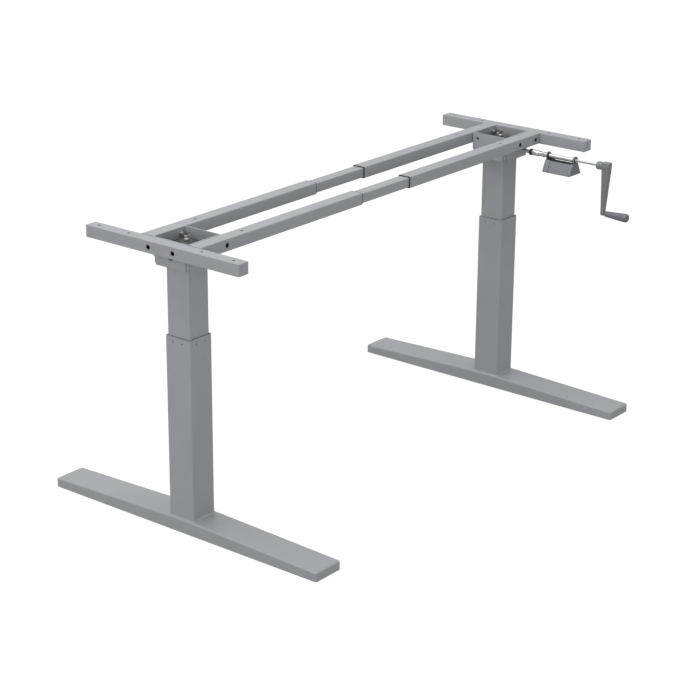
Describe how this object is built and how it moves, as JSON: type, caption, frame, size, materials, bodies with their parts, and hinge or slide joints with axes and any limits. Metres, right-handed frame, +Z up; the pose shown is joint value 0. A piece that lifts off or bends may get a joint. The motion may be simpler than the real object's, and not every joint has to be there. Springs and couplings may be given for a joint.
{
  "type": "height adjustable standing desk",
  "caption": "Height-adjustable desk frame with telescoping square columns on long feet, width-adjustable top rails, a cross shaft and a pull-out hand crank; no desk top.",
  "frame": {"origin": "on the floor, midway between the columns, under the centre of the frame", "axes": "+X towards the leg that carries the crank, -Y to the front, where the crank's grip points, +Z up"},
  "size_m": [1.433, 0.84, 0.737],
  "materials": {
    "frame_paint": "silver-grey powder coat, fine texture, satin",
    "black_plastic": "moulded, matt",
    "black_casting": "black coated die casting, semi-matt",
    "zinc_fastener": "zinc plated",
    "bare_steel": "turned, oiled",
    "bright_steel": "bright drawn and plated",
    "nut_plastic": "natural acetal",
    "crank_paint": "grey enamel on a casting, satin",
    "grip_plastic": "grey, fine moulded texture"
  },
  "bodies": {
    "left_base": {"left_foot": "frame_paint", "left_column_base": "frame_paint", "left_foot_screws": "zinc_fastener", "left_outer_column": "frame_paint", "left_upper_guides": "black_plastic", "left_nut_tube": "bare_steel", "left_lift_nut": "nut_plastic"},
    "left_top": {"left_inner_column": "frame_paint", "left_lower_guides": "black_plastic", "left_head": "frame_paint", "left_gearbox": "black_casting", "left_gearbox_cover": "black_casting", "left_gearbox_screws": "zinc_fastener", "left_head_bolts": "zinc_fastener", "left_side_bar": "frame_paint", "left_rail_front": "frame_paint", "left_rail_rear": "frame_paint", "left_rail_sleeves": "black_plastic", "left_spindle_bearing": "bare_steel"},
    "left_screw": {"left_spindle": "bare_steel", "left_spindle_gear": "bare_steel"},
    "left_front_glide": {"left_glide_front": "black_plastic"},
    "left_rear_glide": {"left_glide_rear": "black_plastic"},
    "right_base": {"right_foot": "frame_paint", "right_column_base": "frame_paint", "right_foot_screws": "zinc_fastener", "right_outer_column": "frame_paint", "right_upper_guides": "black_plastic", "right_nut_tube": "bare_steel", "right_lift_nut": "nut_plastic"},
    "right_top": {"right_inner_column": "frame_paint", "right_lower_guides": "black_plastic", "right_head": "frame_paint", "right_gearbox": "black_casting", "right_gearbox_cover": "black_casting", "right_gearbox_screws": "zinc_fastener", "right_head_bolts": "zinc_fastener", "right_side_bar": "frame_paint", "right_rail_front": "frame_paint", "right_rail_rear": "frame_paint", "right_rail_sleeves": "black_plastic", "right_spindle_bearing": "bare_steel"},
    "right_screw": {"right_spindle": "bare_steel", "right_spindle_gear": "bare_steel"},
    "right_front_glide": {"right_glide_front": "black_plastic"},
    "right_rear_glide": {"right_glide_rear": "black_plastic"},
    "middle_rails": {"inner_rail_front": "frame_paint", "inner_rail_rear": "frame_paint"},
    "cross_tube": {"left_cross_tube": "bright_steel"},
    "cross_rod": {"right_cross_rod": "bright_steel"},
    "drive": {"drive_shaft": "bright_steel", "drive_ring": "black_plastic", "coupling_sleeve": "bright_steel", "drive_tube": "bright_steel"},
    "crank": {"crank_rod": "bright_steel", "crank_arm": "crank_paint", "grip_pin": "zinc_fastener"},
    "handle": {"grip": "grip_plastic"},
    "bracket": {"crank_bracket": "frame_paint", "bracket_bushes": "black_plastic"}
  },
  "joints": [
    {"name": "crank_turn", "type": "hinge", "parent": "right_top", "child": "drive", "pos_m": [0.629, -0.1, 0.697], "axis": [0, 1, 0], "range_deg": [-5761, 19441]},
    {"name": "lift_left", "type": "slide", "parent": "left_base", "child": "left_top", "axis": [0, 0, 1], "range_m": [-0.08, 0.27]},
    {"name": "lift_right", "type": "slide", "parent": "right_top", "child": "right_base", "axis": [0, 0, -1], "range_m": [-0.0801, 0.2701]},
    {"name": "screw_turn_left", "type": "hinge", "parent": "left_top", "child": "left_screw", "pos_m": [-0.629, 0, 0.5], "axis": [0, 0, 1], "range_deg": [-5761, 19441]},
    {"name": "screw_turn_right", "type": "hinge", "parent": "right_top", "child": "right_screw", "pos_m": [0.629, 0, 0.5], "axis": [0, 0, -1], "range_deg": [-5761, 19441]},
    {"name": "cross_tube_turn", "type": "hinge", "parent": "left_top", "child": "cross_tube", "pos_m": [-0.4, 0, 0.697], "axis": [1, 0, 0], "range_deg": [-5761, 19441]},
    {"name": "cross_rod_turn", "type": "hinge", "parent": "right_top", "child": "cross_rod", "pos_m": [0.4, 0, 0.697], "axis": [1, 0, 0], "range_deg": [-5761, 19441]},
    {"name": "width_left", "type": "slide", "parent": "left_top", "child": "middle_rails", "axis": [1, 0, 0], "range_m": [-0.095, 0.162]},
    {"name": "width_right", "type": "slide", "parent": "middle_rails", "child": "right_top", "axis": [1, 0, 0], "range_m": [-0.095, 0.162]},
    {"name": "crank_pull", "type": "slide", "parent": "drive", "child": "crank", "axis": [0, -1, 0], "range_m": [0, 0.08]},
    {"name": "grip_spin", "type": "hinge", "parent": "crank", "child": "handle", "pos_m": [0.629, -0.38, 0.568], "axis": [0, -1, 0], "continuous": true},
    {"name": "bracket_swing", "type": "hinge", "parent": "right_top", "child": "bracket", "pos_m": [0.629, -0.2, 0.697], "axis": [0, 1, 0], "continuous": true},
    {"name": "left_front_level", "type": "slide", "parent": "left_base", "child": "left_front_glide", "axis": [0, 0, 1], "range_m": [-0.01, 0.002]},
    {"name": "left_rear_level", "type": "slide", "parent": "left_base", "child": "left_rear_glide", "axis": [0, 0, 1], "range_m": [-0.01, 0.002]},
    {"name": "right_front_level", "type": "slide", "parent": "right_base", "child": "right_front_glide", "axis": [0, 0, 1], "range_m": [-0.01, 0.002]},
    {"name": "right_rear_level", "type": "slide", "parent": "right_base", "child": "right_rear_glide", "axis": [0, 0, 1], "range_m": [-0.01, 0.002]}
  ],
  "couplings": [
    {"joint": "crank_turn", "follows": "lift_left", "rad_per_m": 1256.6},
    {"joint": "lift_right", "follows": "lift_left", "ratio": 1},
    {"joint": "screw_turn_left", "follows": "lift_left", "rad_per_m": 1256.6},
    {"joint": "screw_turn_right", "follows": "lift_left", "rad_per_m": 1256.6},
    {"joint": "cross_tube_turn", "follows": "lift_left", "rad_per_m": 1256.6},
    {"joint": "cross_rod_turn", "follows": "lift_left", "rad_per_m": 1256.6},
    {"joint": "width_right", "follows": "width_left", "ratio": 1}
  ]
}
